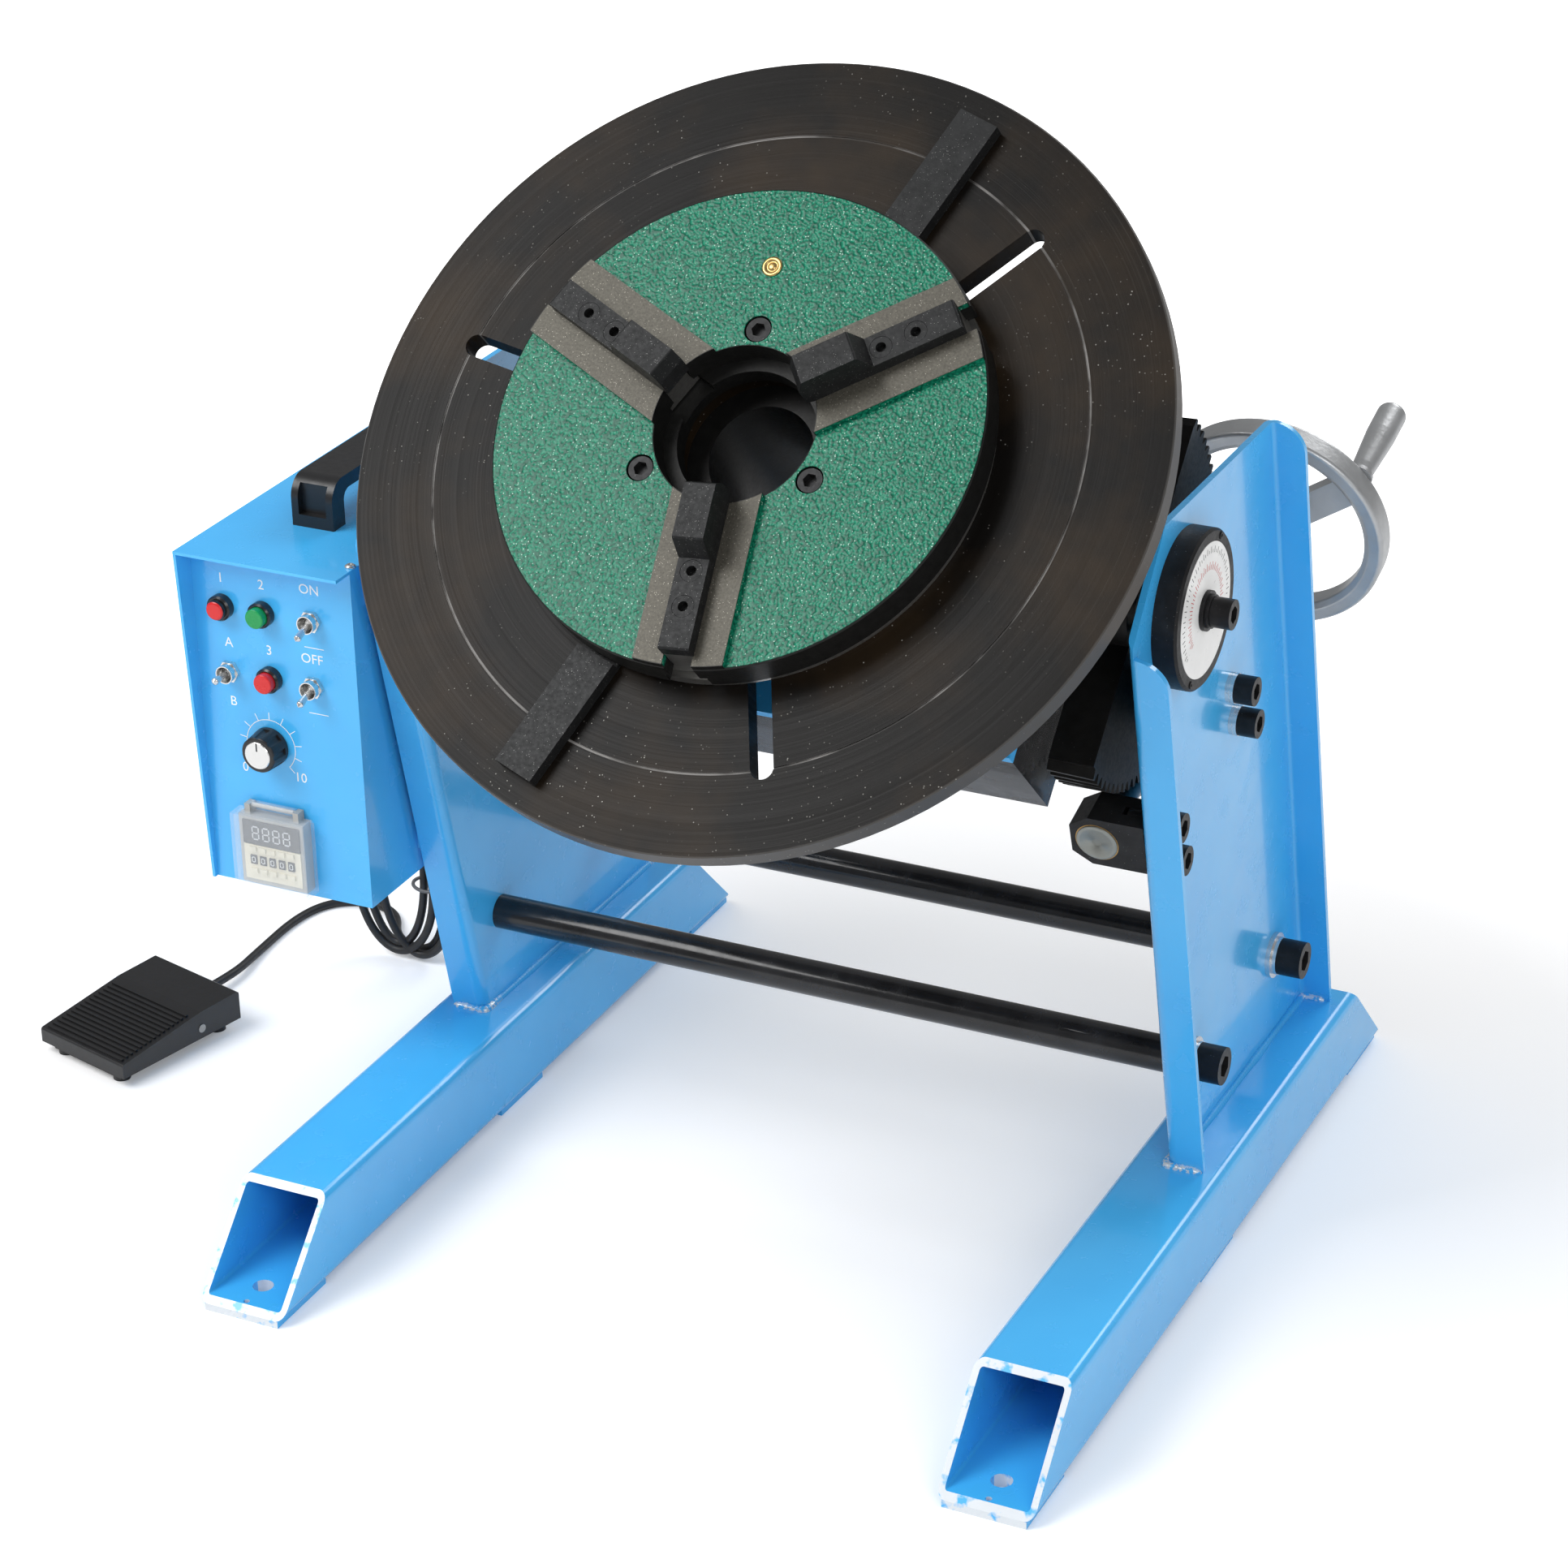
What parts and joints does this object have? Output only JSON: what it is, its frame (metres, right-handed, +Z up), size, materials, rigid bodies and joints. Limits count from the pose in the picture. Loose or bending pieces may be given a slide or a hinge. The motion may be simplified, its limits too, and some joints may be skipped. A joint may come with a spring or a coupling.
{
  "type": "welding positioner",
  "caption": "Tilting welding positioner: motor-driven turntable with a scroll chuck between two leaning plates, hand worm tilt, control box and foot pedal.",
  "frame": {"origin": "centre of the four floor bolts, at floor level", "axes": "+X to the right as the operator faces the table, +Y to the back, +Z up"},
  "size_m": [0.8353, 0.612, 0.7022],
  "materials": {
    "blue_paint": "gloss",
    "black_paint": "gloss",
    "green_paint": "gloss",
    "dark_steel": "satin",
    "black_oxide": "satin",
    "steel": "satin",
    "zinc": "polished",
    "cast_alloy": "satin",
    "bronze": "satin",
    "dial_white": "satin",
    "black_plastic": "satin",
    "grey_plastic": "satin",
    "clear_plastic": "clear",
    "red_plastic": "gloss",
    "green_plastic": "gloss",
    "cord_rubber": "matte"
  },
  "bodies": {
    "frame": {"foot_right": "blue_paint", "foot_left": "blue_paint", "foot_pads": "blue_paint", "side_plate_right": "blue_paint", "side_plate_left": "blue_paint", "tie_bars": "black_paint", "tie_screws": "black_oxide", "worm_bracket_front": "black_oxide", "worm_bracket_rear": "black_oxide", "bracket_screws": "black_oxide", "frame_washers": "zinc", "pivot_flanges": "black_oxide", "bronze_bushes": "bronze", "control_box_body": "blue_paint", "control_box_back": "blue_paint", "box_straps": "blue_paint", "carry_handle": "black_plastic", "pilot_lamp": "red_plastic", "panel_fittings": "zinc", "timer_body": "grey_plastic", "pedal_base": "black_plastic", "pedal_pin": "zinc", "cord_gland": "black_plastic", "cord_loops": "cord_rubber", "cord_floor_run": "cord_rubber"},
    "cradle": {"gearbox_case": "black_paint", "gearbox_front_cover": "blue_paint", "gearbox_rear_cover": "black_paint", "spindle_bearings": "steel", "pivot_shafts": "steel", "dial_plate": "dial_white", "pivot_end_screws": "black_oxide", "gear_motor": "black_paint", "tilt_sector": "steel"},
    "drive_pinion": {"drive_pinion": "steel"},
    "turntable": {"spindle": "steel", "spindle_gear": "steel", "table": "dark_steel", "chuck_body": "green_paint", "chuck_screws": "black_oxide"},
    "scroll": {"scroll_ring": "steel", "scroll_bars": "black_oxide"},
    "worm": {"worm_shaft": "steel", "handwheel": "cast_alloy"},
    "handle_grip": {"handwheel_grip": "cast_alloy"},
    "reset_button": {"reset_button": "green_plastic"},
    "lock_button": {"lock_button": "red_plastic"},
    "power_toggle": {"power_toggle": "zinc"},
    "mode_toggle": {"mode_toggle": "zinc"},
    "direction_toggle": {"direction_toggle": "zinc"},
    "speed_knob": {"speed_knob": "black_plastic"},
    "timer_cover": {"timer_cover": "clear_plastic"},
    "pedal_treadle": {"pedal_treadle": "black_plastic"},
    "jaw_1": {"master_jaw_1": "steel", "top_jaw_1": "black_oxide"},
    "jaw_2": {"master_jaw_2": "steel", "top_jaw_2": "black_oxide"},
    "jaw_3": {"master_jaw_3": "steel", "top_jaw_3": "black_oxide"}
  },
  "joints": [
    {"name": "tilt", "type": "hinge", "parent": "frame", "child": "cradle", "pos_m": [0, -0.02, 0.4445], "axis": [1, 0, 0], "range_deg": [-45.8, 44.2]},
    {"name": "worm_spin", "type": "hinge", "parent": "frame", "child": "worm", "pos_m": [0.21, 0.01658, 0.32706], "axis": [0, 0.9548, 0.2974], "range_deg": [-4040, 4040]},
    {"name": "grip_spin", "type": "hinge", "parent": "worm", "child": "handle_grip", "pos_m": [0.26611, 0.24358, 0.43892], "axis": [0, 0.9548, 0.2974], "continuous": true},
    {"name": "table_spin", "type": "hinge", "parent": "cradle", "child": "turntable", "pos_m": [0, -0.00675, 0.45812], "axis": [0, -0.7169, 0.6972], "continuous": true},
    {"name": "pinion_spin", "type": "hinge", "parent": "cradle", "child": "drive_pinion", "pos_m": [-0.1125, -0.00675, 0.45812], "axis": [0, -0.7169, 0.6972], "continuous": true},
    {"name": "scroll_turn", "type": "hinge", "parent": "turntable", "child": "scroll", "pos_m": [0, -0.07845, 0.52784], "axis": [0, -0.7169, 0.6972], "range_deg": [-1260, 720]},
    {"name": "jaw_1_slide", "type": "slide", "parent": "turntable", "child": "jaw_1", "axis": [0.8192, 0.3999, 0.4112], "range_m": [-0.0161, 0.0281]},
    {"name": "jaw_2_slide", "type": "slide", "parent": "turntable", "child": "jaw_2", "axis": [-0.9063, 0.2946, 0.303], "range_m": [-0.0161, 0.0281]},
    {"name": "jaw_3_slide", "type": "slide", "parent": "turntable", "child": "jaw_3", "axis": [0.0872, -0.6945, -0.7142], "range_m": [-0.0161, 0.0281]},
    {"name": "reset_press", "type": "slide", "parent": "frame", "child": "reset_button", "axis": [0, 1, 0], "range_m": [0, 0.0025], "stiffness_N_per_m": 300, "springref_m": -0.001},
    {"name": "lock_press", "type": "slide", "parent": "frame", "child": "lock_button", "axis": [0, 1, 0], "range_m": [0, 0.0025], "stiffness_N_per_m": 300, "springref_m": -0.001},
    {"name": "power_flip", "type": "hinge", "parent": "frame", "child": "power_toggle", "pos_m": [-0.298, -0.096, 0.37], "axis": [1, 0, 0], "range_deg": [-40, 0]},
    {"name": "mode_flip", "type": "hinge", "parent": "frame", "child": "mode_toggle", "pos_m": [-0.361, -0.096, 0.325], "axis": [1, 0, 0], "range_deg": [-20, 20]},
    {"name": "direction_flip", "type": "hinge", "parent": "frame", "child": "direction_toggle", "pos_m": [-0.2997, -0.096, 0.325], "axis": [1, 0, 0], "range_deg": [-40, 0]},
    {"name": "speed_turn", "type": "hinge", "parent": "frame", "child": "speed_knob", "pos_m": [-0.335, -0.093, 0.2777], "axis": [0, -1, 0], "range_deg": [-150, 150]},
    {"name": "timer_cover_flip", "type": "hinge", "parent": "frame", "child": "timer_cover", "pos_m": [-0.334, -0.097, 0.2355], "axis": [-1, 0, 0], "range_deg": [0, 100]},
    {"name": "pedal_press", "type": "hinge", "parent": "frame", "child": "pedal_treadle", "pos_m": [-0.49134, -0.02161, 0.016], "axis": [0.9659, -0.2588, 0], "range_deg": [0, 4], "stiffness_Nm_per_rad": 0.6, "springref_deg": -11.46}
  ],
  "couplings": [
    {"joint": "worm_spin", "follows": "tilt", "ratio": -88},
    {"joint": "pinion_spin", "follows": "table_spin", "ratio": -4},
    {"joint": "jaw_1_slide", "follows": "scroll_turn", "m_per_rad": -0.0012732},
    {"joint": "jaw_2_slide", "follows": "scroll_turn", "m_per_rad": -0.0012732},
    {"joint": "jaw_3_slide", "follows": "scroll_turn", "m_per_rad": -0.0012732}
  ]
}
